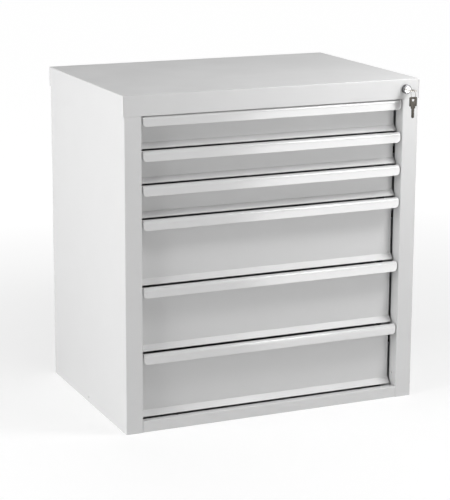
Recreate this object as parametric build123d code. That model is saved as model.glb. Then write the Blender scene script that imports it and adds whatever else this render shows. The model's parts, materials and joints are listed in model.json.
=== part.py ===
from build123d import *

import math
import os

# Sheet-steel cabinet with six full-width drawers, three shallow ones above three deep ones.
# All sizes are millimetres. X runs to the right, Y to the back, Z up. The origin is the
# middle of the footprint, on the floor, and the front is at the low end of Y.

# How far a cutting block runs past what it cuts, and how long a hole's cutter is
past = 1.0
drill_length = 5.0

# Carcass
width = 720.0
depth = 500.0
height = 760.0
panel_sheet = 1.0
panel_bend = 2.0
stile_width = 40.0
stile_return = 33.0
stile_lip = 12.0
rear_flange = 20.0
side_hole_diameter = 5.0
side_hole_height = 11.5
return_hole_diameter = 4.0
return_hole_edge = 13.0

# Lid
lid_sheet = 1.2
lid_bend = 2.2
lid_skirt = 46.0
lid_overhang = 1.5
lid_flange = 20.0
lid_seam = 0.5
lid_relief = 2.6
lid_gap = 0.3

# Base pan, whose front fold is the rail under the drawers
rail_height = 26.0
rail_flange = 16.0
rail_setback = 0.7
rail_gap = 0.3
rail_hole_diameter = 5.0
rail_hole_edge = 9.0
rail_notch_width = 6.0
rail_notch_depth = 3.0
rail_notch_spacing = 464.0

# Rows of drawers
shallow_count = 3
deep_count = 3
shallow_pitch = 76.5
lid_to_front = 1.0
front_gap = 1.5
front_side_gap = 4.0

# Drawer front
front_sheet = 1.0
front_bend = 2.0
front_flange = 10.0
front_recess = 33.0
grip_height = 23.0
grip_roll = 8.0
grip_slope = 22.0
grip_setback = 0.5
grip_corner = 8.5
lip_height = 12.0
lip_reach = 13.0
lip_corner = 6.0

# Tray
tray_sheet = 0.8
tray_side_gap = 10.0
tray_rim = 8.0
tray_above_front = 4.0
tray_below_front = 13.0
tray_back_gap = 32.0

# Uprights
upright_width = 30.0
upright_sheet = 1.5
upright_front_gap = 23.0
upright_back_gap = 23.0
upright_top_gap = 1.8
slot_width = 3.0
slot_height = 14.0

# Telescopic runners
runner_space = 13.0
runner_height = 35.0
runner_sheet = 1.2
runner_gap = 0.3
runner_lip = 1.3
runner_above_tray = 22.0
runner_front_gap = 5.0
runner_mouth = 3.6
runner_past_hook = 4.0
hook_depth = 4.0
hook_sheet = 2.0
hook_height = 9.0

# Lock
lock_edge = 34.0
lock_head_diameter = 21.0
lock_head_length = 9.0
lock_head_bevel = 1.5
barrel_diameter = 18.0
barrel_length = 24.0
plug_diameter = 12.4
plug_gap = 0.1
plug_front = 1.0
plug_tail = 0.5
keyway_depth = 26.0
nut_across_flats = 24.0
nut_thickness = 4.0
cam_throw = 10.0
cam_sheet = 2.5
cam_hub_rim = 1.0
pin_diameter = 5.0
pin_slot_gap = 0.6
pin_rest_angle = 135.0
pin_past_bar = 1.0

# Locking bar and its guides
bar_sheet = 3.0
bar_width = 20.0
bar_back_gap = 7.0
bar_from_return = 2.0
bar_above_rail = 20.0
bar_head_height = 18.0
bar_head_reach = 10.0
tongue_height = 6.0
tongue_reach = 19.0
tongue_lift = 3.0
guide_wall = 3.7
guide_gap = 0.3
guide_height = 16.0
guide_lip = 6.0
guide_drop = 34.0

# Lock catch on each tray
catch_sheet = 1.5
catch_height = 12.0
catch_reach = 15.0
catch_leg = 20.0
catch_drop = 2.0
catch_play = 3.5

# Keys and ring
key_sheet = 2.0
key_bow_width = 19.0
key_bow_length = 21.5
key_bow_round = 2.0
key_blade_width = 7.0
key_blade_length = 27.0
key_hole_diameter = 7.0
key_web = 3.25
key_neck = 5.0
key_neck_width = 11.0
key_tip_chamfer = 2.3
# Cuts in the blade's edge: place along the blade from the neck, as a share, and size
key_cuts = [(0.30, 1.2), (0.48, 2.0), (0.66, 1.0), (0.82, 1.8)]
key_gap = 0.3
ring_diameter = 20.0
ring_wire = 1.4

# Places that follow from the sizes
half_width = width / 2
front_y = -depth / 2
back_y = depth / 2
lid_bottom = height - lid_skirt
lid_underside = height - lid_sheet
panel_top = lid_underside - lid_gap
panel_inside = half_width - panel_sheet
opening_half = half_width - stile_width
return_y = front_y + stile_return
back_panel_y = back_y - lid_sheet - lid_gap - panel_sheet
front_panel_y = front_y + front_recess
tray_y = front_panel_y + front_sheet
tray_back_y = back_y - tray_back_gap - front_sheet - panel_sheet
front_half = opening_half - front_side_gap
upright_inside = opening_half - tray_side_gap
tray_half = upright_inside - runner_space
upright_front_y = return_y + upright_front_gap
upright_back_y = back_panel_y - panel_sheet - upright_back_gap
runner_front_y = return_y + runner_front_gap
runner_back_y = upright_back_y - upright_width / 2 + runner_past_hook
pan_floor_top = panel_sheet
row_count = shallow_count + deep_count
first_top = lid_bottom - lid_to_front
last_floor = rail_height + front_gap
deep_pitch = (first_top - last_floor - shallow_count * shallow_pitch) / deep_count

# The lock stands over the right stile, half way up the lid's skirt
lock_x = half_width - lock_edge
lock_z = height - lid_skirt / 2
barrel_radius = barrel_diameter / 2
plug_radius = plug_diameter / 2
barrel_end_y = front_y + barrel_length
plug_end_y = barrel_end_y + plug_tail
plug_front_y = front_y - lock_head_length - plug_front
cam_back_y = plug_end_y + cam_sheet
bar_y = upright_front_y - bar_back_gap - bar_sheet
bar_x = opening_half + bar_from_return
pin_rest = math.radians(pin_rest_angle)
pin_x = lock_x + cam_throw * math.cos(pin_rest)
pin_z = lock_z + cam_throw * math.sin(pin_rest)


def block(x_from, x_to, y_from, y_to, z_from, z_to):
    """A plain plate or bar between two corners."""
    middle = Pos((x_from + x_to) / 2, (y_from + y_to) / 2, (z_from + z_to) / 2)
    return middle * Box(x_to - x_from, y_to - y_from, z_to - z_from)


def along_x(face, x_from, x_to):
    """Extrude a section drawn in Y and Z."""
    return extrude(Plane.YZ.offset(x_from) * face, amount=x_to - x_from)


def along_y(face, y_from, y_to):
    """Extrude a section drawn in X and Z."""
    return extrude(Plane.XZ.offset(-y_to) * face, amount=y_to - y_from)


def along_z(face, z_from, z_to):
    """Extrude a section drawn in X and Y."""
    return extrude(Plane.XY.offset(z_from) * face, amount=z_to - z_from)


def folded(points, bends, sheet, side):
    """Section of a bent sheet: the line of one face, and the sheet laid on one side of it."""
    line = Wire(FilletPolyline(*points, radius=bends).edges())
    outline = line.offset_2d(sheet, kind=Kind.INTERSECTION, side=side, closed=True)
    return make_face(outline.edges())


def mirrored(shape):
    """The same piece on the left of the cabinet."""
    return mirror(shape, about=Plane.YZ)


def corner_cutter(x, z, to_x, to_z, radius, y_from, y_to):
    """What is cut off a sheet's corner to round it; to_x and to_z point into the sheet."""
    square = block(
        min(x, x + to_x * radius), max(x, x + to_x * radius), y_from, y_to,
        min(z, z + to_z * radius), max(z, z + to_z * radius))
    round_part = along_y(Pos(x + to_x * radius, z + to_z * radius) * Circle(radius), y_from, y_to)
    return square - round_part


def row_top(row):
    """Height of the top of a drawer front; row 0 is the highest drawer."""
    shallow = min(row, shallow_count)
    return first_top - shallow * shallow_pitch - (row - shallow) * deep_pitch


def row_bottom(row):
    return row_top(row + 1) + front_gap


def tray_bottom(row):
    return row_bottom(row) + tray_above_front


def tray_top(row):
    return row_top(row) - tray_below_front


def runner_z(row):
    return tray_bottom(row) + runner_above_tray


def make_side_panel():
    """Right side: wall, front stile with its return and lip, and rear flange."""
    section = folded(
        [(opening_half + stile_lip, return_y), (opening_half, return_y), (opening_half, front_y),
         (half_width, front_y), (half_width, back_panel_y), (half_width - rear_flange, back_panel_y)],
        [panel_bend] * 4, panel_sheet, Side.LEFT)
    panel = along_z(section, 0, panel_top)
    notch_z = lid_bottom - lid_gap
    panel -= block(opening_half - past, panel_inside, front_y - past, return_y + past,
                   notch_z, height)
    skirt_back = front_y + lid_sheet + lid_gap
    panel -= block(opening_half - past, half_width + past, front_y - past, skirt_back,
                   notch_z, height)
    hole = Pos(panel_inside, 0, side_hole_height) * Rot(0, 90, 0)
    panel -= hole * Cylinder(side_hole_diameter / 2, drill_length)
    hole = Pos(opening_half, return_y - return_hole_edge, runner_z(row_count - 1)) * Rot(0, 90, 0)
    panel -= hole * Cylinder(return_hole_diameter / 2, drill_length)
    return panel


def make_lid():
    """Folded lid with skirts all round, open corner seams and flanges turned in below."""
    lid_half = half_width + lid_overhang
    body = block(-lid_half, lid_half, front_y, back_y, lid_bottom, height)
    body = fillet(body.edges().group_by(Axis.Z)[-1], lid_bend)
    body = offset(body, amount=-lid_sheet, openings=body.faces().sort_by(Axis.Z)[0])
    inside_half = panel_inside - lid_gap
    flange_back = front_y + lid_flange
    body += block(-inside_half, inside_half, front_y + lid_sheet, flange_back,
                  lid_bottom, lid_bottom + lid_sheet)
    seam_top = height - 2 * lid_bend
    for side in (-1, 1):
        seam_x = side * (lid_half - lid_sheet - lid_seam / 2)
        body -= block(seam_x - lid_seam / 2, seam_x + lid_seam / 2, front_y - past,
                      front_y + lid_sheet + lid_seam, lid_bottom - past, seam_top)
        body -= block(seam_x - lid_relief / 2, seam_x + lid_relief / 2, front_y - past,
                      front_y + lid_sheet + lid_seam, seam_top - lid_relief, seam_top)
    lock_hole = Pos(lock_x, front_y, lock_z) * Rot(90, 0, 0)
    body -= lock_hole * Cylinder(barrel_radius + lid_gap, drill_length)
    return body


def make_base_pan():
    """Floor that the cabinet stands on, with low walls; its front fold is the rail."""
    rail_half = opening_half - rail_gap
    rail_y = front_y + rail_setback
    floor_back = back_panel_y - panel_sheet - rail_gap
    pan_half = panel_inside - rail_gap
    wall_front = return_y + panel_sheet
    pan = block(-pan_half, pan_half, wall_front, floor_back, 0, rail_height)
    pan -= block(-pan_half + panel_sheet, pan_half - panel_sheet, wall_front - past,
                 floor_back - panel_sheet, pan_floor_top, rail_height + past)
    rail = folded(
        [(wall_front, 0), (rail_y, 0), (rail_y, rail_height), (rail_y + rail_flange, rail_height)],
        [panel_bend, panel_bend], panel_sheet, Side.RIGHT)
    rail = along_x(rail, -rail_half, rail_half)
    for side in (-1, 1):
        hole_x = side * (rail_half - rail_hole_edge)
        rail -= Pos(hole_x, rail_y + rail_flange / 2, rail_height) * Cylinder(
            rail_hole_diameter / 2, drill_length)
        notch_x = side * rail_notch_spacing / 2
        rail -= block(notch_x - rail_notch_width / 2, notch_x + rail_notch_width / 2,
                      rail_y + rail_flange - rail_notch_depth, rail_y + rail_flange + past,
                      rail_height - panel_sheet - past, rail_height + past)
        hole = Pos(side * pan_half, 0, side_hole_height) * Rot(0, 90, 0)
        pan -= hole * Cylinder(side_hole_diameter / 2, drill_length)
    return pan + rail


def make_back_panel():
    """Flat sheet on the outer face of the rear flanges."""
    half = panel_inside - panel_bend
    return block(-half, half, back_panel_y, back_panel_y + panel_sheet, panel_sheet, panel_top)


def make_upright(front_edge):
    """Channel that stands between pan and lid, open to the side panel, slotted for the hooks."""
    outer = panel_inside - rail_gap - panel_sheet
    section = folded(
        [(outer, front_edge), (upright_inside, front_edge),
         (upright_inside, front_edge + upright_width), (outer, front_edge + upright_width)],
        0, upright_sheet, Side.RIGHT)
    upright = along_z(section, pan_floor_top, panel_top - upright_top_gap)
    middle = front_edge + upright_width / 2
    for row in range(row_count):
        upright -= block(upright_inside - past, upright_inside + upright_sheet + past,
                         middle - slot_width / 2, middle + slot_width / 2,
                         runner_z(row) - slot_height / 2, runner_z(row) + slot_height / 2)
    return upright


def runner_section(kind):
    """Right-hand section of one member, nested in the next with a running gap all round."""
    inner = tray_half
    outer = upright_inside
    half = runner_height / 2
    step = runner_sheet + runner_gap
    if kind == "cabinet":
        web, arm, top = outer, inner + runner_mouth, half
    else:
        web, arm, top = outer - step, inner + runner_mouth + step, half - step
    if kind == "drawer":
        low = half - 2 * step - runner_lip
        high = half - 2 * step
        neck = inner + runner_mouth + 2 * step + runner_sheet
        end = outer - 2 * step
        points = [(end, high), (neck - runner_sheet, high), (neck - runner_sheet, low), (inner, low),
                  (inner, -low), (neck - runner_sheet, -low), (neck - runner_sheet, -high),
                  (end, -high)]
        return folded(points, 0, runner_sheet, Side.LEFT)
    points = [(arm, top - runner_sheet - runner_lip), (arm, top), (web, top),
              (web, -top), (arm, -top), (arm, runner_sheet + runner_lip - top)]
    return folded(points, 0, runner_sheet, Side.RIGHT)


def make_runner(kind, row):
    """Both runners of one drawer, left and right, at rest."""
    section = Pos(0, runner_z(row)) * runner_section(kind)
    runner = along_y(section, runner_front_y, runner_back_y)
    if kind == "cabinet":
        for edge in (upright_front_y, upright_back_y - upright_width):
            middle = edge + upright_width / 2
            runner += block(upright_inside, upright_inside + hook_depth,
                            middle - hook_sheet / 2, middle + hook_sheet / 2,
                            runner_z(row) - slot_height / 2,
                            runner_z(row) - slot_height / 2 + hook_height)
    return Compound(children=[*runner.solids(), *mirrored(runner).solids()])


def make_tray(row):
    """Floor and sides folded from one sheet, with rims, and two end walls welded between."""
    bottom = tray_bottom(row)
    top = tray_top(row)
    section = folded(
        [(-tray_half + tray_rim, top), (-tray_half, top), (-tray_half, bottom),
         (tray_half, bottom), (tray_half, top), (tray_half - tray_rim, top)],
        0, tray_sheet, Side.LEFT)
    pieces = [along_y(section, tray_y, tray_back_y)]
    inside_half = tray_half - tray_sheet
    for wall_y in (tray_y, tray_back_y - tray_sheet):
        pieces.append(block(-inside_half, inside_half, wall_y, wall_y + tray_sheet,
                            bottom + tray_sheet, top - tray_sheet))
    return Compound(children=pieces)


def make_front(row):
    """Drawer front: rolled grip, sloping top, flat panel with side returns, lip folded forward."""
    top = row_top(row)
    bottom = row_bottom(row)
    grip_y = front_y + grip_setback
    run = tray_y - grip_y
    slope = math.radians(grip_slope)
    knee_z = top - (run - grip_roll) * math.tan(slope) + grip_roll * (1 / math.cos(slope) - 1)
    apex_z = knee_z + run * math.tan(slope)
    section = folded(
        [(grip_y, top - grip_height), (grip_y, apex_z), (tray_y, knee_z),
         (tray_y, bottom + lip_height), (tray_y - lip_reach, bottom)],
        [grip_roll, front_bend, front_bend], front_sheet, Side.RIGHT)
    front = along_x(section, -front_half, front_half)
    for side in (-1, 1):
        front -= corner_cutter(side * front_half, top - grip_height, -side, 1, grip_corner,
                               grip_y - past, grip_y + front_sheet + past)
        front -= corner_cutter(side * front_half, bottom - past, -side, 1, lip_corner,
                               tray_y - lip_reach - 2 * past, front_panel_y - past)
    # Between the two long bends the flat of the panel is a channel, bent back at both ends
    low, high = bottom + lip_height + front_bend, knee_z - 2 * front_bend
    front -= block(-front_half - past, front_half + past, front_panel_y - past, tray_y + past,
                   low, high)
    flange_y = front_panel_y + front_flange
    channel = folded(
        [(-front_half, flange_y), (-front_half, front_panel_y), (front_half, front_panel_y),
         (front_half, flange_y)], [front_bend, front_bend], front_sheet, Side.LEFT)
    return front + along_z(channel, low, high)


def make_catch(row):
    """Angle on the tray's right side; the bar's tongue drops in front of it."""
    top = tray_top(row) - catch_drop
    face_y = bar_y + bar_sheet + catch_play
    section = folded(
        [(tray_half + catch_reach, face_y), (tray_half, face_y), (tray_half, face_y + catch_leg)],
        [0], catch_sheet, Side.RIGHT)
    return along_z(section, top - catch_height, top)


def tongue_z(row):
    """Underside of the bar's tongue over this row's catch, with the lock open."""
    return tray_top(row) - catch_drop + tongue_lift


def make_lock_bar():
    """Flat bar with one tongue for each drawer and a cross slot for the cam's pin."""
    low = rail_height + bar_above_rail
    bar_right = bar_x + bar_width
    outline = Pos(bar_x + bar_width / 2, (low + pin_z) / 2) * Rectangle(bar_width, pin_z - low)
    head_left = pin_x - bar_head_reach
    outline += Pos((head_left + bar_right) / 2, pin_z) * Rectangle(bar_right - head_left,
                                                                  bar_head_height)
    tongue_left = bar_x - tongue_reach
    for row in range(row_count):
        middle = tongue_z(row) + tongue_height / 2
        outline += Pos((tongue_left + bar_right) / 2, middle) * Rectangle(
            bar_right - tongue_left, tongue_height)
    pin_reach = cam_throw * (1 - math.cos(math.pi - pin_rest))
    slot_centre = pin_x - pin_reach / 2
    outline -= Pos(slot_centre, pin_z) * Rectangle(
        pin_reach + pin_diameter + 2 * pin_slot_gap, pin_diameter + 2 * pin_slot_gap)
    return along_y(outline, bar_y, bar_y + bar_sheet)


def make_bar_guides():
    """Three guides on the front upright that hold the bar loosely."""
    left = bar_x - guide_wall - guide_gap
    right = bar_x + bar_width + guide_wall + guide_gap
    front = bar_y - guide_gap - guide_wall
    guides = []
    for row in range(1, row_count, 2):
        middle = tray_top(row) - guide_drop
        low, high = middle - guide_height / 2, middle + guide_height / 2
        guide = block(left, right, front, upright_front_y, low, high)
        guide -= block(bar_x - guide_gap, bar_x + bar_width + guide_gap, bar_y - guide_gap,
                       bar_y + bar_sheet + guide_gap, low - past, high + past)
        guide -= block(left + guide_lip, right - guide_lip, front - past, bar_y,
                       low - past, high + past)
        guides.append(guide)
    return Compound(children=guides)


def turned(outline):
    """Revolve a section, drawn as radius and Y, about the lock's axis."""
    return Pos(lock_x, 0, lock_z) * revolve(Plane.XY * outline, Axis.Y)


def make_lock_body():
    """Bright head in front of the skirt and a barrel through it."""
    head_radius = lock_head_diameter / 2
    head_y = front_y - lock_head_length
    bore = plug_radius + plug_gap
    outline = make_face(Polyline(
        (bore, head_y), (head_radius, head_y), (head_radius, front_y), (barrel_radius, front_y),
        (barrel_radius, barrel_end_y), (bore, barrel_end_y), close=True))
    body = turned(outline)
    rim = body.edges().filter_by(GeomType.CIRCLE).group_by(Axis.Y)[0].sort_by(SortBy.RADIUS)[-1]
    return chamfer(rim, lock_head_bevel)


def make_lock_nut():
    """Hexagon nut behind the skirt."""
    outline = RegularPolygon(nut_across_flats / 2, 6, major_radius=False)
    outline -= Circle(barrel_radius + plug_gap)
    inner_y = front_y + lid_sheet
    return along_y(Pos(lock_x, lock_z) * outline, inner_y, inner_y + nut_thickness)


def make_lock_plug():
    """Turning core with the keyway across its front."""
    plug = along_y(Pos(lock_x, lock_z) * Circle(plug_radius), plug_front_y, plug_end_y)
    half = key_blade_width / 2 + key_gap
    plug -= block(lock_x - half, lock_x + half, plug_front_y - past, plug_front_y + keyway_depth,
                  lock_z - key_sheet / 2 - key_gap, lock_z + key_sheet / 2 + key_gap)
    return plug


def make_lock_cam():
    """Crank on the back of the plug; its pin reaches through the bar."""
    hub = Pos(lock_x, lock_z) * Circle(plug_radius + cam_hub_rim)
    tip = Pos(pin_x, pin_z) * Circle(pin_diameter)
    arm = make_hull(Sketch(children=[hub, tip]).edges())
    cam = along_y(arm, plug_end_y, cam_back_y)
    pin_end = bar_y + bar_sheet + pin_past_bar
    pin = along_y(Pos(pin_x, pin_z) * Circle(pin_diameter / 2), cam_back_y, pin_end)
    return cam + pin


def key_outline():
    """Flat key, drawn with the bow's end at the top and the hole's middle at the origin."""
    bow_top = key_web + key_hole_diameter / 2
    bow_middle = bow_top - key_bow_length / 2
    bow = Pos(0, bow_middle) * RectangleRounded(key_bow_width, key_bow_length, key_bow_round)
    neck = Pos(0, bow_top - key_bow_length) * Rectangle(key_neck_width, 2 * key_neck)
    tip = bow_top - key_bow_length - key_blade_length
    blade = Pos(0, (bow_middle + tip) / 2) * Rectangle(key_blade_width, bow_middle - tip)
    outline = bow + neck + blade
    outline = chamfer(outline.vertices().group_by(Axis.Y)[0], key_tip_chamfer)
    for place, cut in key_cuts:
        notch = Pos(key_blade_width / 2, tip + key_blade_length * (1 - place)) * Rot(0, 0, 45)
        outline -= notch * Rectangle(cut, cut)
    return outline - Circle(key_hole_diameter / 2)


# The ring hangs over the web between the bow's hole and the bow's end
bow_end_y = plug_front_y - key_gap - key_neck - key_bow_length
hole_y = bow_end_y + key_web + key_hole_diameter / 2
ring_radius = ring_diameter / 2
ring_inner = ring_radius - ring_wire / 2
ring_y = bow_end_y + key_web / 2
ring_z = lock_z + key_sheet / 2 + key_gap - math.sqrt(ring_inner**2 - (key_web / 2) ** 2)
spare_hole_z = ring_z - ring_inner + key_gap - key_hole_diameter / 2


def make_key():
    """Key in the lock, its bow level and pointing forward."""
    flat = Plane(origin=(lock_x, hole_y, lock_z), x_dir=(1, 0, 0), z_dir=(0, 0, -1))
    return extrude(flat * key_outline(), amount=key_sheet / 2, both=True)


def make_key_ring():
    """Ring of square wire through the bow's hole, hanging over the bow's end."""
    wire = Pos(0, ring_radius) * Rectangle(ring_wire, ring_wire)
    return Pos(lock_x, ring_y, ring_z) * revolve(Plane.XY * wire, Axis.X)


def make_spare_key():
    """Second key, hanging from the ring and facing forward."""
    outline = Pos(lock_x, spare_hole_z) * key_outline()
    return along_y(outline, ring_y - key_sheet / 2, ring_y + key_sheet / 2)


def make_all():
    right_panel = make_side_panel()
    front_upright = make_upright(upright_front_y)
    back_upright = make_upright(upright_back_y - upright_width)
    parts = {
        "lid": make_lid(),
        "side_panel_right": right_panel,
        "side_panel_left": mirrored(right_panel),
        "back_panel": make_back_panel(),
        "base_pan": make_base_pan(),
        "upright_front_right": front_upright,
        "upright_front_left": mirrored(front_upright),
        "upright_back_right": back_upright,
        "upright_back_left": mirrored(back_upright),
        "lock_body": make_lock_body(),
        "lock_nut": make_lock_nut(),
        "bar_guides": make_bar_guides(),
        "lock_plug": make_lock_plug(),
        "lock_cam": make_lock_cam(),
        "lock_bar": make_lock_bar(),
        "key": make_key(),
        "key_ring": make_key_ring(),
        "spare_key": make_spare_key(),
    }
    for row in range(row_count):
        number = row + 1
        parts[f"cabinet_runners_{number}"] = make_runner("cabinet", row)
        parts[f"middle_runners_{number}"] = make_runner("middle", row)
        parts[f"drawer_runners_{number}"] = make_runner("drawer", row)
        parts[f"drawer_tray_{number}"] = make_tray(row)
        parts[f"drawer_front_{number}"] = make_front(row)
        parts[f"lock_catch_{number}"] = make_catch(row)
    return parts


os.makedirs("parts", exist_ok=True)
for name, shape in make_all().items():
    export_step(shape, f"parts/{name}.step")
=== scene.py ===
# %% [markdown]
# A grey steel drawer cabinet, dressed for its portrait.
#
# The construction is already there: folded sheets, drawers, runners and a lock, each at its
# real size and place. This lesson gives them their finishes, remodels the few pieces whose
# charm is finer than folded sheet, and lights the whole like a product photograph.

# %% Load the cabinet
import json
import math

import bmesh
import bpy
from mathutils import Matrix, Vector


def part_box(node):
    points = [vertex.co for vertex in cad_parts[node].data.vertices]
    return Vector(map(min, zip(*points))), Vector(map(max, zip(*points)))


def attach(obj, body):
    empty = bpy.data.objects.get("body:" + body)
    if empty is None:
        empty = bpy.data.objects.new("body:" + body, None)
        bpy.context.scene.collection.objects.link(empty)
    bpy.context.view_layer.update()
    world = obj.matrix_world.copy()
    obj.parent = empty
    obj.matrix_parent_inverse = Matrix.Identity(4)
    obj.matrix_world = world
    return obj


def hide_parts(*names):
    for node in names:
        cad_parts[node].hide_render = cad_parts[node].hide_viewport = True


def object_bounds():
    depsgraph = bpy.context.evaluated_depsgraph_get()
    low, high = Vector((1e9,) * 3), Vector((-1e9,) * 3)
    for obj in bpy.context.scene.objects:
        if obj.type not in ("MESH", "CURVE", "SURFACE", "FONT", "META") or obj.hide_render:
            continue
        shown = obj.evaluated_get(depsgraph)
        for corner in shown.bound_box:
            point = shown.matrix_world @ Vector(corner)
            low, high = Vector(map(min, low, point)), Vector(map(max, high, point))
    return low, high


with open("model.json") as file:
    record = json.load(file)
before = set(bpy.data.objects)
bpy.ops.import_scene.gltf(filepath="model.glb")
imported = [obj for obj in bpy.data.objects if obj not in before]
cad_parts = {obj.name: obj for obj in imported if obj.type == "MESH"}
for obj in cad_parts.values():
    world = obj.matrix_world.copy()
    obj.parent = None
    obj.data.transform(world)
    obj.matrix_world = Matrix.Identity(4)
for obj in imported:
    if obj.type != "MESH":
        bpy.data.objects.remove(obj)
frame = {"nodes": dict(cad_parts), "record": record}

nodes = frame["nodes"]
cad_low, cad_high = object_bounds()
rows = sorted(int(name.rsplit("_", 1)[1]) for name in nodes if name.startswith("drawer_front_"))
print(f"{len(nodes)} pieces, {len(rows)} drawers, box {cad_low[:]} to {cad_high[:]}")

# %% [markdown]
# First the camera, because every judgement about light and finish is made through it.
#
# The photograph was taken from the left, a little above the lid, with a long lens. The values
# come from fitting the carcass's corners: where the camera stands, how far it turns and
# nods, and how long the lens is when the picture is 500 pixels tall. The nod alone leaves the
# upright edges leaning a little more than the photograph does. A shift lens would straighten
# them, so a small shift is kept and the nod is less.

# %% The camera
picture_tall = 500
focal_length_px = 1744.8
camera_place = Vector((-1.6492, -3.6951, 1.3237))
camera_turn = 0.4169
camera_nod = 0.2201
camera_roll = 0.0048
shift_px = 35

camera_data = bpy.data.cameras.new("camera")
camera_data.lens = focal_length_px * camera_data.sensor_width / picture_tall
camera_data.shift_y = -shift_px / picture_tall
camera_data.clip_start = 0.05
camera_data.clip_end = 50
camera = bpy.data.objects.new("camera", camera_data)
bpy.context.scene.collection.objects.link(camera)
camera.matrix_world = (
    Matrix.Translation(camera_place)
    @ Matrix.Rotation(-camera_turn, 4, "Z")
    @ Matrix.Rotation(math.pi / 2 - camera_nod, 4, "X")
    @ Matrix.Rotation(camera_roll, 4, "Z")
)
bpy.context.scene.camera = camera
print(f"lens {camera_data.lens:.1f} mm, {camera_place.length:.2f} m away")

# %% [markdown]
# Paint, metal and floor are built from shader nodes. These helpers name the few steps they
# share. Patterns are read in object coordinates, in metres, so that a finish stays on its
# piece and keeps its true size when a drawer slides out.

# %% Helpers for patterns
def new_material(name):
    material = bpy.data.materials.new(name)
    material.use_nodes = True
    tree = material.node_tree
    return material, tree, tree.nodes["Principled BSDF"]


def noise(tree, size, detail=2.0):
    """Noise in object coordinates, its features about size metres across."""
    place = tree.nodes.new("ShaderNodeTexCoord")
    texture = tree.nodes.new("ShaderNodeTexNoise")
    texture.inputs["Scale"].default_value = 1 / size
    texture.inputs["Detail"].default_value = detail
    tree.links.new(place.outputs["Object"], texture.inputs["Vector"])
    return texture.outputs["Fac"]


def spread(tree, value, low, high, start=0.3, end=0.7):
    """The same value, stretched so that start becomes low and end becomes high.

    If no start and end are given, they are the two between which nearly all of a noise lies.
    """
    reach = tree.nodes.new("ShaderNodeMapRange")
    reach.inputs["From Min"].default_value = start
    reach.inputs["From Max"].default_value = end
    reach.inputs["To Min"].default_value = low
    reach.inputs["To Max"].default_value = high
    tree.links.new(value, reach.inputs["Value"])
    return reach.outputs["Result"]


def combined(tree, operation, first, second):
    """Two values made one: added, multiplied, or the larger of the two."""
    math_node = tree.nodes.new("ShaderNodeMath")
    math_node.operation = operation
    tree.links.new(first, math_node.inputs[0])
    tree.links.new(second, math_node.inputs[1])
    return math_node.outputs[0]


print("helpers for patterns ready")

# %% [markdown]
# Three more helpers work on whole surfaces. One ripples a surface in its shading alone, which
# is right for a relief too fine to cut into a mesh. The other two let a surface look one way
# to the eye while it lights the cabinet in another, as a photographer's backdrop is retouched.

# %% Helpers for surfaces
def bump(tree, shader, height, depth):
    """Lets a height pattern ripple the surface by depth metres."""
    ripple = tree.nodes.new("ShaderNodeBump")
    ripple.inputs["Strength"].default_value = 1
    ripple.inputs["Distance"].default_value = depth
    tree.links.new(height, ripple.inputs["Height"])
    tree.links.new(ripple.outputs["Normal"], shader.inputs["Normal"])


def seen_directly(tree):
    """One where a camera, mirror or see-through ray looks, and nothing for the rest."""
    path = tree.nodes.new("ShaderNodeLightPath").outputs
    either = combined(tree, "MAXIMUM", path["Is Camera Ray"], path["Is Glossy Ray"])
    return combined(tree, "MAXIMUM", either, path["Is Transmission Ray"])


def mixed(tree, share, first, second):
    """Two shaders made one, of which the second shows by the given share."""
    mix = tree.nodes.new("ShaderNodeMixShader")
    for value, socket in zip((share, first, second), mix.inputs):
        tree.links.new(value, socket)
    return mix.outputs[0]


print("helpers for surfaces ready")

# %% [markdown]
# A product picture wants a white surround that doesn't flood the object with light. The world
# therefore looks white to the camera and to mirror-like reflections, while the light it gives
# is a tenth of that. More lamps could whiten a backdrop too, but they would wash out the
# shades on the cabinet.

# %% The world
world_glow = 0.1
pure_white = (1, 1, 1, 1)
world = bpy.data.worlds.new("studio")
world.use_nodes = True
sky_tree = world.node_tree
dim_sky = sky_tree.nodes["Background"]
dim_sky.inputs["Color"].default_value = pure_white
dim_sky.inputs["Strength"].default_value = world_glow
white_sky = sky_tree.nodes.new("ShaderNodeBackground")
white_sky.inputs["Color"].default_value = pure_white
sky = mixed(sky_tree, seen_directly(sky_tree), dim_sky.outputs[0], white_sky.outputs[0])
sky_tree.links.new(sky, sky_tree.nodes["World Output"].inputs["Surface"])
bpy.context.scene.world = world
print(f"world strength {world_glow}")

# %% [markdown]
# The floor is a wide sheet of pale paper. To the eye it is part glowing white and part lit
# paper. Near the cabinet it shows more of the light that falls on it, and so keeps the
# cabinet's soft shadow. Farther off the white takes over, and the floor melts into the
# background without an edge. The glow is a little stronger than white, to make up for the
# darker paper that is mixed with it.

# %% The floor
floor_size = 40
floor_paper = (0.9, 0.9, 0.9, 1)
floor_rough = 0.9
floor_white = 1.155
share_lit_near = 0.45
share_lit_far = 0.16
near_reach = 0.5
far_reach = 2.2
floor_form = bmesh.new()
bmesh.ops.create_grid(floor_form, x_segments=1, y_segments=1, size=floor_size / 2)
floor_mesh = bpy.data.meshes.new("floor")
floor_form.to_mesh(floor_mesh)
floor_form.free()
floor = bpy.data.objects.new("floor", floor_mesh)
bpy.context.scene.collection.objects.link(floor)

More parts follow.
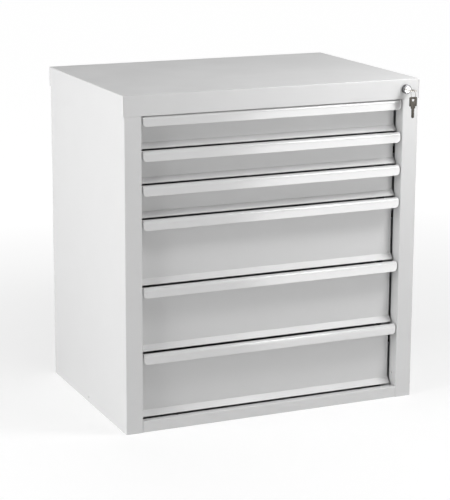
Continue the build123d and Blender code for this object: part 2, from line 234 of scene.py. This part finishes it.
floor_material, floor_tree, floor_shader = new_material("studio_floor")
floor_shader.inputs["Base Color"].default_value = floor_paper
floor_shader.inputs["Roughness"].default_value = floor_rough
floor_glow = floor_tree.nodes.new("ShaderNodeEmission")
floor_glow.inputs["Strength"].default_value = floor_white
floor_place = floor_tree.nodes.new("ShaderNodeTexCoord")
floor_reach = floor_tree.nodes.new("ShaderNodeVectorMath")
floor_reach.operation = "LENGTH"
floor_tree.links.new(floor_place.outputs["Object"], floor_reach.inputs[0])
share_white = spread(floor_tree, floor_reach.outputs["Value"],
                     1 - share_lit_near, 1 - share_lit_far, near_reach, far_reach)
floor_share = combined(floor_tree, "MULTIPLY", seen_directly(floor_tree), share_white)
floor_look = mixed(floor_tree, floor_share, floor_shader.outputs[0], floor_glow.outputs[0])
floor_tree.links.new(floor_look, floor_tree.nodes["Material Output"].inputs["Surface"])
floor_mesh.materials.append(floor_material)
print(f"floor {floor_size} m wide, {share_lit_near:.0%} lit paper at the cabinet")

# %% [markdown]
# Four soft lamps do the shaping. A large one on the left makes that side the brightest face,
# as in the photograph. A small one close above the right-hand corner fades over the lid from
# right to left, which a large far one could not do. A standing one at the right front is the
# light that the grips mirror: its edge is where their gleam starts, half way along.
#
# The last one is for those who walk round the cabinet. It stands behind and lower than the
# lid, because a flat lid mirrors any lamp above it as a white sheet, and it is narrow enough
# that the left side doesn't mirror it towards the camera.

# %% The lamps
def softbox(name, place, aim, size, power):
    """A lamp as wide and high as its size in metres, of some watts, that faces its aim."""
    lamp = bpy.data.lights.new(name, "AREA")
    lamp.shape = "RECTANGLE"
    lamp.size, lamp.size_y = size
    lamp.energy = power
    stand = bpy.data.objects.new(name, lamp)
    bpy.context.scene.collection.objects.link(stand)
    stand.location = place
    stand.rotation_euler = (Vector(aim) - Vector(place)).to_track_quat("-Z", "Y").to_euler()
    stand.visible_camera = False
    return stand


middle = (cad_low + cad_high) / 2
lid_corner = (0.3, cad_low.y, 0.72)
front_middle = (0.15, cad_low.y, 0.45)
lamps = [
    softbox("left_box", place=(-3.0, -0.6, 1.3), aim=middle, size=(2.2, 2.2), power=81),
    softbox("lid_box", place=(0.75, -0.8, 1.55), aim=lid_corner, size=(0.45, 0.45), power=12.4),
    softbox("window_box", place=(1.27, -2.2, 0.7), aim=front_middle, size=(0.8, 0.95), power=12.6),
    softbox("back_box", place=(0.4, 3.0, 0.37), aim=middle, size=(1.8, 0.7), power=12),
]
bpy.context.scene.view_settings.view_transform = "Standard"
print([lamp.name for lamp in lamps])

# %% [markdown]
# Now the finishes. Powder coat is paint baked from dry powder: satin, very even, with a fine
# orange-peel ripple where the grains flowed together. A noise of about a millimetre bends the
# normal slightly, and a slower noise varies the gloss so that broad faces don't look
# computed. A steady colour goes straight on the shader, and only what varies gets nodes.

# %% Powder coat
light_grey = (0.664, 0.664, 0.664)
satin = (0.34, 0.42)
gloss_patch = 0.09
peel_size = 0.0011
peel_depth = 0.00002
peel_detail = 1.0


def coated(name, colour):
    """A new material with the coat's colour, and its satin roughness to build on."""
    material, tree, shader = new_material(name)
    shader.inputs["Base Color"].default_value = (*colour, 1)
    return material, tree, shader, spread(tree, noise(tree, gloss_patch), *satin)


def powder_coat(name, colour):
    material, tree, shader, roughness = coated(name, colour)
    tree.links.new(roughness, shader.inputs["Roughness"])
    bump(tree, shader, noise(tree, peel_size, peel_detail), peel_depth)
    return material


grey_coat = powder_coat("light_grey_powder_coat", light_grey)
print(grey_coat.name)

# %% [markdown]
# The grips gleam more than the panels behind them: hands have polished them, and they aren't
# quite upright. Rolled sheet springs back, so its face looks up a little. The mesh stays
# upright, as the drawing has it, and the shading leans instead: a height that rises evenly
# down the grip tilts the normal by one angle. Both effects end where the grip ends, so they
# are driven by the place along Y and Z, and each front gets its own coat for its own height.

# %% The grips' polished coat
grip_tall = 0.023
grip_deep = 0.018
polish_fade = grip_deep / 3
grip_lean = math.radians(10)
grip_polish = 0.33
grip_peel = 0.08


def grip_coat(name, colour, front_low, front_high):
    """The coat on a drawer front: its grip is polished, and leans out towards its lower edge."""
    material, tree, shader, roughness = coated(name, colour)
    place = tree.nodes.new("ShaderNodeTexCoord")
    split = tree.nodes.new("ShaderNodeSeparateXYZ")
    tree.links.new(place.outputs["Object"], split.inputs["Vector"])
    grip_back = front_low.y + grip_deep
    polish = spread(tree, split.outputs["Y"], grip_polish, 1, grip_back - polish_fade, grip_back)
    tree.links.new(combined(tree, "MULTIPLY", roughness, polish), shader.inputs["Roughness"])
    # Both heights below are in metres, so the bump that adds them up has a depth of one.
    lean_rise = grip_tall * math.tan(grip_lean)
    lean = spread(tree, split.outputs["Z"], lean_rise, 0, front_high.z - grip_tall, front_high.z)
    worn_peel = spread(tree, polish, peel_depth * grip_peel, peel_depth, grip_polish, 1)
    peel = combined(tree, "MULTIPLY", noise(tree, peel_size, peel_detail), worn_peel)
    bump(tree, shader, combined(tree, "ADD", peel, lean), depth=1)
    return material


front_coats = {
    row: grip_coat(f"polished_grip_coat_{row}", light_grey, *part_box(f"drawer_front_{row}"))
    for row in rows}
print([coat.name for coat in front_coats.values()])

# %% [markdown]
# The hidden steel is zinc plated. Zinc shows a faint patchwork of crystals, of which each takes
# the light a little differently, so its roughness follows a cell pattern. A noise would look
# like dirt there. The runners are of finer strip, darker and smoother under their film of oil.

# %% Zinc-plated steel
def zinc(name, colour, crystal, rough):
    """Bare metal whose roughness changes from crystal to crystal."""
    material, tree, shader = new_material(name)
    shader.inputs["Base Color"].default_value = (*colour, 1)
    shader.inputs["Metallic"].default_value = 1
    place = tree.nodes.new("ShaderNodeTexCoord")
    cells = tree.nodes.new("ShaderNodeTexVoronoi")
    cells.inputs["Scale"].default_value = 1 / crystal
    tree.links.new(place.outputs["Object"], cells.inputs["Vector"])
    grey = tree.nodes.new("ShaderNodeRGBToBW")
    tree.links.new(cells.outputs["Color"], grey.inputs["Color"])
    tree.links.new(spread(tree, grey.outputs["Val"], *rough), shader.inputs["Roughness"])
    return material


sheet_zinc = zinc("zinc_plated_sheet", (0.62, 0.63, 0.64), crystal=0.006, rough=(0.32, 0.46))
runner_zinc = zinc("oiled_zinc_runner", (0.52, 0.53, 0.54), crystal=0.002, rough=(0.24, 0.36))
print(sheet_zinc.name, runner_zinc.name)

# %% [markdown]
# The lock's head is bright chrome. The key in the lock is nickel worn bright by its use, and the
# spare one, which nobody turns, has tarnished to a dark bronze grey. All of them are smooth
# metal that fingers have smeared, so one helper makes them from a colour and two limits of
# roughness.

# %% Chrome, nickel and spring steel
smear_size = 0.003


def bright_metal(name, colour, rough):
    """Smooth metal with faint smears, between two limits of roughness."""
    material, tree, shader = new_material(name)
    shader.inputs["Base Color"].default_value = (*colour, 1)
    shader.inputs["Metallic"].default_value = 1
    tree.links.new(spread(tree, noise(tree, smear_size), *rough), shader.inputs["Roughness"])
    return material


chrome = bright_metal("polished_chrome", (0.78, 0.78, 0.79), (0.05, 0.11))
# The same chrome with a dark colour, which paints in the dark reflections on the lock head's rim
# and dish.
painted_reflection_chrome = bright_metal("chrome_with_painted_dark_reflections", (0.16, 0.16, 0.165), (0.12, 0.2))
key_nickel = bright_metal("worn_bright_nickel", (0.42, 0.4, 0.37), (0.2, 0.32))
dark_nickel = bright_metal("tarnished_nickel", (0.07, 0.064, 0.056), (0.3, 0.42))
ring_steel = bright_metal("ring_steel", (0.28, 0.27, 0.25), (0.18, 0.28))
print([metal.name for metal in (chrome, painted_reflection_chrome, key_nickel, dark_nickel, ring_steel)])

# %% [markdown]
# The locking bar runs in guides of black moulded plastic. Their mould was spark eroded, which
# leaves a fine even grain that takes the shine off.

# %% Moulded plastic
plastic_black = (0.02, 0.02, 0.021, 1)
plastic_rough = 0.55
spark_grain = 0.0006
spark_depth = 0.00003
guide_plastic, guide_tree, guide_shader = new_material("black_moulded_plastic")
guide_shader.inputs["Base Color"].default_value = plastic_black
guide_shader.inputs["Roughness"].default_value = plastic_rough
bump(guide_tree, guide_shader, noise(guide_tree, spark_grain), spark_depth)
print(guide_plastic.name)

# %% [markdown]
# The cabinet's record names a material for each piece, so one table of finishes dresses them
# all. The drawer fronts come last, because each has a coat of its own.

# %% Every piece gets its finish
finish_of_slot = {
    "carcass_paint": grey_coat,
    "drawer_paint": grey_coat,
    "zinc_steel": sheet_zinc,
    "runner_steel": runner_zinc,
    "lock_chrome": chrome,
    "key_steel": key_nickel,
    "guide_plastic": guide_plastic,
}
for entry in frame["record"]["subparts"]:
    for material_slot in nodes[entry["node"]].material_slots:
        material_slot.material = finish_of_slot[entry["material_slot"]]
for row, coat in front_coats.items():
    nodes[f"drawer_front_{row}"].material_slots[0].material = coat
print(f"{len(finish_of_slot)} finishes on {len(nodes)} pieces")

# %% [markdown]
# From here on come the pieces that folded sheet can't show: turned, bent and milled ones. Each
# is shaped with mesh operators, closed, given outward normals and handed to a body, so that it
# moves as the piece it stands for does.
#
# Round parts look faceted if every edge is flat, and sharp parts look melted if every edge is
# smooth. The helper below smooths all faces and then marks as sharp each edge that turns by
# more than a given angle.

# %% Finishing a new piece
def milli(value):
    return value / 1000


same_point = milli(0.001)


def finished(form, name, body, material, sharp_degrees=32):
    """Closes a mesh, turns its faces outward, shades it and gives it to a body."""
    bmesh.ops.remove_doubles(form, verts=form.verts, dist=same_point)
    bmesh.ops.recalc_face_normals(form, faces=form.faces)
    for face in form.faces:
        face.smooth = True
    for edge in form.edges:
        edge.smooth = edge.calc_face_angle(0) < math.radians(sharp_degrees)
    mesh = bpy.data.meshes.new(name)
    form.to_mesh(mesh)
    form.free()
    mesh.materials.append(material)
    piece = bpy.data.objects.new(name, mesh)
    bpy.context.scene.collection.objects.link(piece)
    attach(piece, body)
    return piece


print("helper for finishing ready")

# %% [markdown]
# A turned piece starts as an outline of a few points, half of its section, and is spun about
# its axis, just as a lathe makes it. The edge that a turner breaks with a file is then rounded
# by a bevel.

# %% Drawing, turning and rounding
def wire(form, points, closed=True):
    """Joins a few points by edges, back to the first one if the outline is closed."""
    corners = [form.verts.new(point) for point in points]
    following = corners[1:] + corners[:1] if closed else corners[1:]
    for first, second in zip(corners, following):
        form.edges.new((first, second))


def full_turn(form, centre, axis, steps):
    """Spins all that was drawn once about an axis, and joins its end to its start."""
    bmesh.ops.spin(
        form, geom=form.verts[:] + form.edges[:], cent=centre, axis=axis,
        angle=2 * math.pi, steps=steps, use_merge=True)


def round_rim(form, centre, rim_y, radius, offset):
    """Rounds the circular edge that has this place along Y and this radius."""
    close_by = milli(0.1)
    rim = []
    for edge in form.edges:
        ends = [vert.co for vert in edge.verts]
        reaches = [math.hypot(end.x - centre.x, end.z - centre.z) for end in ends]
        level = all(abs(end.y - rim_y) < close_by for end in ends)
        if level and all(abs(reach - radius) < close_by for reach in reaches):
            rim.append(edge)
    bmesh.ops.bevel(
        form, geom=rim, offset=offset, segments=4, profile=0.5, affect="EDGES", material=-1)


print("helpers for turned pieces ready")

# %% [markdown]
# The lock's head is turned brass under chrome. Its front edge is rounded for the fingers, and
# a shallow dish runs round the core, as the photograph's bright and dark rings suggest. One
# closed outline spun about the lock's axis gives head and barrel together.

# %% Lock head
lock_low, lock_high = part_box("lock_body")
plug_low, plug_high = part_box("lock_plug")
lock_centre = (lock_low + lock_high) / 2
head_radius = (lock_high.z - lock_low.z) / 2
core_radius = (plug_high.z - plug_low.z) / 2
core_gap = milli(0.1)
head_ledge = milli(1.5)
dish_depth = milli(0.7)
rim_width = milli(2.0)
rim_round = milli(1.3)
head_steps = 72
bore = core_radius + core_gap
barrel_radius = head_radius - head_ledge
rim_inside = head_radius - rim_width
head_front = lock_low.y
head_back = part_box("lid")[0].y
lock_outline = [
    (bore, head_front + dish_depth),
    (rim_inside - dish_depth, head_front + dish_depth),
    (rim_inside, head_front),
    (head_radius, head_front),
    (head_radius, head_back),
    (barrel_radius, head_back),
    (barrel_radius, lock_high.y),
    (bore, lock_high.y),
]
lock_form = bmesh.new()
wire(lock_form, [(lock_centre.x + radius, y, lock_centre.z) for radius, y in lock_outline])
full_turn(lock_form, lock_centre, (0, 1, 0), head_steps)
round_rim(lock_form, lock_centre, head_front, head_radius, rim_round)
lock_head = finished(lock_form, "chromed_lock_head", "cabinet", chrome)
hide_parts("lock_body")
print(lock_head.name, len(lock_head.data.polygons), "faces")

# %% [markdown]
# A chromed head mirrors the room round it, and in the photograph that room is partly dark. The
# studio here has nothing dark to mirror. So the rim and the bottom of the dish get a darker
# chrome, which paints those dark reflections in, and only the dish's slope between them stays
# bright.

# %% The painted dark reflections on the lock head
lock_head.data.materials.append(painted_reflection_chrome)
past_slope = head_front + dish_depth * 0.75
for face in lock_head.data.polygons:
    reach = math.hypot(face.center.x - lock_centre.x, face.center.z - lock_centre.z)
    face.material_index = 1 if reach > rim_inside or face.center.y > past_slope else 0
print(sum(face.material_index for face in lock_head.data.polygons), "dark faces")

# %% [markdown]
# A cheap cabinet key is stamped from flat steel: a rounded bow with a hole, a short neck, and a
# blade with cuts along one edge. The outline is drawn flat, filled round its hole, thickened by
# an extrusion, and its rims are softened as a tumbler does. The cuts are invented ones.

# %% The key's sizes
bow_long = milli(21.5)
bow_hole = milli(7.0)
bow_web = milli(3.25)
bow_corner = milli(1.8)
neck_long = milli(5.0)
neck_wide = milli(11.0)
blade_wide = milli(7.0)
tip_slope = milli(2.3)
cut_places = [0.30, 0.48, 0.66, 0.82]
cut_depths = [milli(1.2), milli(2.0), milli(1.0), milli(1.8)]
key_rim = milli(0.35)
spare_low, spare_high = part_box("spare_key")
bow_wide = spare_high.x - spare_low.x
key_thick = spare_high.y - spare_low.y
bow_top = bow_web + bow_hole / 2
shoulder = bow_top - bow_long
neck_end = shoulder - neck_long
key_tip = bow_top - (spare_high.z - spare_low.z)
print(f"key {(bow_top - key_tip) * 1000:.1f} mm long, {key_thick * 1000:.1f} mm thick")

# %% [markdown]
# The outline is written as its right side going down and its left side coming up. A cut is a
# notch with two slopes at 45 degrees, and its place is a share of the length from the
# shoulder to the tip.

# %% The key's outline
def blade_edge():
    """The blade's cut edge, from the neck down to the tip."""
    edge = []
    for place, depth in zip(cut_places, cut_depths):
        cut_middle = key_tip + (shoulder - key_tip) * (1 - place)
        slope = depth / math.sqrt(2)
        edge += [(blade_wide / 2, cut_middle + slope), (blade_wide / 2 - slope, cut_middle),
                 (blade_wide / 2, cut_middle - slope)]
    return edge


def key_outline():
    """The key in X and Z, its hole's middle at the origin and its blade pointing down."""
    half_bow = bow_wide / 2
    half_neck = neck_wide / 2
    half_blade = blade_wide / 2
    right = [(half_bow, bow_top), (half_bow, shoulder), (half_neck, shoulder),
             (half_neck, neck_end), (half_blade, neck_end), *blade_edge(),
             (half_blade, key_tip + tip_slope), (half_blade - tip_slope, key_tip)]
    left = [(tip_slope - half_blade, key_tip), (-half_blade, key_tip + tip_slope),
            (-half_blade, neck_end), (-half_neck, neck_end), (-half_neck, shoulder),
            (-half_bow, shoulder), (-half_bow, bow_top)]
    return right + left


print(len(key_outline()), "points round the key")

# %% [markdown]
# The fill and the extrusion leave every edge square. The bow's four corners run through the
# sheet, so they are found by that direction and rounded first. What still turns sharply and
# lies in a face is a rim, and gets a small bevel.

# %% The key's form
def soften_key(form):
    """Rounds the bow's corners in plan, and then breaks all rims of both faces."""
    close_by = milli(0.01)
    sharp_turn = math.radians(60)
    corners = [edge for edge in form.edges
               if abs(edge.verts[0].co.y - edge.verts[1].co.y) > key_thick / 2
               and abs(abs(edge.verts[0].co.x) - bow_wide / 2) < close_by]
    bmesh.ops.bevel(
        form, geom=corners, offset=bow_corner, segments=6, profile=0.5,
        affect="EDGES", material=-1)
    rims = [edge for edge in form.edges if edge.calc_face_angle(0) > sharp_turn
            and abs(edge.verts[0].co.y - edge.verts[1].co.y) < close_by]
    bmesh.ops.bevel(
        form, geom=rims, offset=key_rim, segments=2, profile=0.5,
        affect="EDGES", material=-1)


def key_form():
    """A flat key with its hole's middle at the origin and its blade pointing down."""
    form = bmesh.new()
    wire(form, [(x, -key_thick / 2, z) for x, z in key_outline()])
    bmesh.ops.create_circle(
        form, segments=32, radius=bow_hole / 2, cap_ends=False,
        matrix=Matrix.Translation((0, -key_thick / 2, 0)) @ Matrix.Rotation(math.pi / 2, 4, "X"))
    bmesh.ops.triangle_fill(form, edges=form.edges[:], use_beauty=True)
    bmesh.ops.dissolve_limit(
        form, angle_limit=math.radians(1), verts=form.verts[:], edges=form.edges[:])
    pushed = bmesh.ops.extrude_face_region(form, geom=form.faces[:], use_keep_orig=True)
    moved = [item for item in pushed["geom"] if isinstance(item, bmesh.types.BMVert)]
    bmesh.ops.translate(form, verts=moved, vec=(0, key_thick, 0))
    bmesh.ops.recalc_face_normals(form, faces=form.faces)
    soften_key(form)
    return form


print("helpers for the key's form ready")

# %% [markdown]
# Both keys are cut to one form. The spare one hangs as it was drawn, and the other lies level,
# turned about X so that its blade points into the lock.

# %% The two keys
def placed_key(name, body, replaced, material, place):
    form = key_form()
    bmesh.ops.transform(form, matrix=place, verts=form.verts[:])
    piece = finished(form, name, body, material, sharp_degrees=40)
    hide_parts(replaced)
    return piece


key_low, key_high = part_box("key")
spare_middle = (spare_low + spare_high) / 2
key_middle = (key_low + key_high) / 2
hanging = Matrix.Translation((spare_middle.x, spare_middle.y, spare_high.z - bow_top))
lying = (Matrix.Translation((key_middle.x, key_low.y + bow_top, key_middle.z))
         @ Matrix.Rotation(math.pi / 2, 4, "X"))
keys = [placed_key("hanging_spare_key", "spare_key", "spare_key", dark_nickel, hanging),
        placed_key("key_in_the_lock", "key", "key", key_nickel, lying)]
print([(piece.name, len(piece.data.polygons)) for piece in keys])

# %% [markdown]
# The ring is a split ring: two turns of flat spring wire side by side. A spin that also slides
# along its axis winds them, and one oval section makes the wire. The wire takes all but a
# little of its turn's width, so that the two turns show a fine line between them.

# %% Split ring
ring_turns = 2
ring_steps = 144
turn_filled = 0.96
wire_filled = 0.9
ring_low, ring_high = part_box("key_ring")
ring_middle = (ring_low + ring_high) / 2
ring_wide = ring_high.x - ring_low.x
turn_wide = ring_wide / (ring_turns + 1)
wire_middle = (ring_high.y - ring_low.y) / 2 - ring_wide / 2
ring_form = bmesh.new()
bmesh.ops.create_circle(ring_form, segments=12, radius=0.5, cap_ends=True)
bmesh.ops.scale(
    ring_form, vec=(turn_wide * turn_filled, ring_wide * wire_filled, 1), verts=ring_form.verts)
bmesh.ops.translate(
    ring_form, verts=ring_form.verts,
    vec=ring_middle + Vector((turn_wide / 2 - ring_wide / 2, wire_middle, 0)))
bmesh.ops.spin(
    ring_form, geom=ring_form.faces[:], cent=ring_middle, axis=(1, 0, 0),
    dvec=Vector((ring_turns * turn_wide / ring_steps, 0, 0)),
    angle=ring_turns * 2 * math.pi, steps=ring_steps)
split_ring = finished(
    ring_form, "split_key_ring", "key_ring", ring_steel, sharp_degrees=50)
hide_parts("key_ring")
print(split_ring.name, len(split_ring.data.polygons), "faces")

# %% [markdown]
# Blind rivets hold what welding would spoil. The back panel is riveted on the rear flanges
# after painting, and the runners are riveted to the trays. A blind rivet shows a low dome with
# a dimple where its mandrel snapped off. Half its section, drawn one wide and one high, is
# scaled and spun once about the rivet's axis. That one head is duplicated to each place, turned
# to face out of the sheet.

# %% Rivet heads
rivet_section = [(0, 0), (1, 0), (0.93, 0.45), (0.72, 0.82), (0.4, 1), (0.3, 0.96),
                 (0.26, 0.55), (0, 0.5)]
rivet_steps = 20


def rivet_heads(name, body, material, places, radius, height):
    """Copies one spun head to each place, given as a point and the way it faces."""
    form = bmesh.new()
    wire(form, [(radius * out, 0, height * up) for out, up in rivet_section], closed=False)
    full_turn(form, (0, 0, 0), (0, 0, 1), rivet_steps)
    bmesh.ops.remove_doubles(form, verts=form.verts, dist=same_point)
    pattern_points = form.verts[:]
    pattern = pattern_points + form.edges[:] + form.faces[:]
    for point, facing in places:
        copied = bmesh.ops.duplicate(form, geom=pattern)["geom"]
        turn = Vector((0, 0, 1)).rotation_difference(Vector(facing)).to_matrix().to_4x4()
        bmesh.ops.transform(
            form, matrix=Matrix.Translation(point) @ turn,
            verts=[item for item in copied if isinstance(item, bmesh.types.BMVert)])
    bmesh.ops.delete(form, geom=pattern_points, context="VERTS")
    return finished(form, name, body, material)


def evenly(first, last, count):
    """Places from the first to the last, all as far apart."""
    return [first + (last - first) * step / (count - 1) for step in range(count)]


print(len(rivet_section), "points in half a rivet")

# %% [markdown]
# Six rivets run up each side of the back panel, in the middle of the side's rear flange, and
# three more hold its foot to the base pan.

# %% Rivets of the back panel
flange_edge = milli(9)
lowest_rivet = milli(60)
highest_rivet = milli(680)
rivets_a_side = 6
foot_reach = milli(230)
foot_rivets = 3
back_rivet_radius = milli(3.6)
back_rivet_height = milli(1.0)
back_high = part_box("back_panel")[1]
pan_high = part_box("base_pan")[1]
flange_middle = back_high.x - flange_edge
back_places = [
    (Vector((side * flange_middle, back_high.y, height)), (0, 1, 0))
    for side in (-1, 1) for height in evenly(lowest_rivet, highest_rivet, rivets_a_side)]
back_places += [
    (Vector((across, back_high.y, pan_high.z / 2)), (0, 1, 0))
    for across in evenly(-foot_reach, foot_reach, foot_rivets)]
rivet_heads("back_panel_rivets", "cabinet", sheet_zinc,
            back_places, back_rivet_radius, back_rivet_height)
print(len(back_places), "rivets in the back panel")

# %% [markdown]
# Each tray is riveted to its two runners by four rivets a side. Their heads are inside the
# tray, where a drawer that is pulled out shows them, and ride with the drawer.

# %% Rivets of the trays
tray_sheet = milli(0.8)
rail_edge = milli(40)
rail_rivets = 4
tray_rivet_radius = milli(3.2)
tray_rivet_height = milli(0.9)
for row in rows:
    tray_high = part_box(f"drawer_tray_{row}")[1]
    rail_low, rail_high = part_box(f"drawer_runners_{row}")
    rail_middle = (rail_low.z + rail_high.z) / 2
    tray_places = [
        (Vector((side * (tray_high.x - tray_sheet), along, rail_middle)), (-side, 0, 0))
        for side in (-1, 1)
        for along in evenly(rail_low.y + rail_edge, rail_high.y - rail_edge, rail_rivets)]
    rivet_heads(f"tray_rivets_{row}", f"drawer_{row}", sheet_zinc,
                tray_places, tray_rivet_radius, tray_rivet_height)
print(len(tray_places), "rivets in each tray")
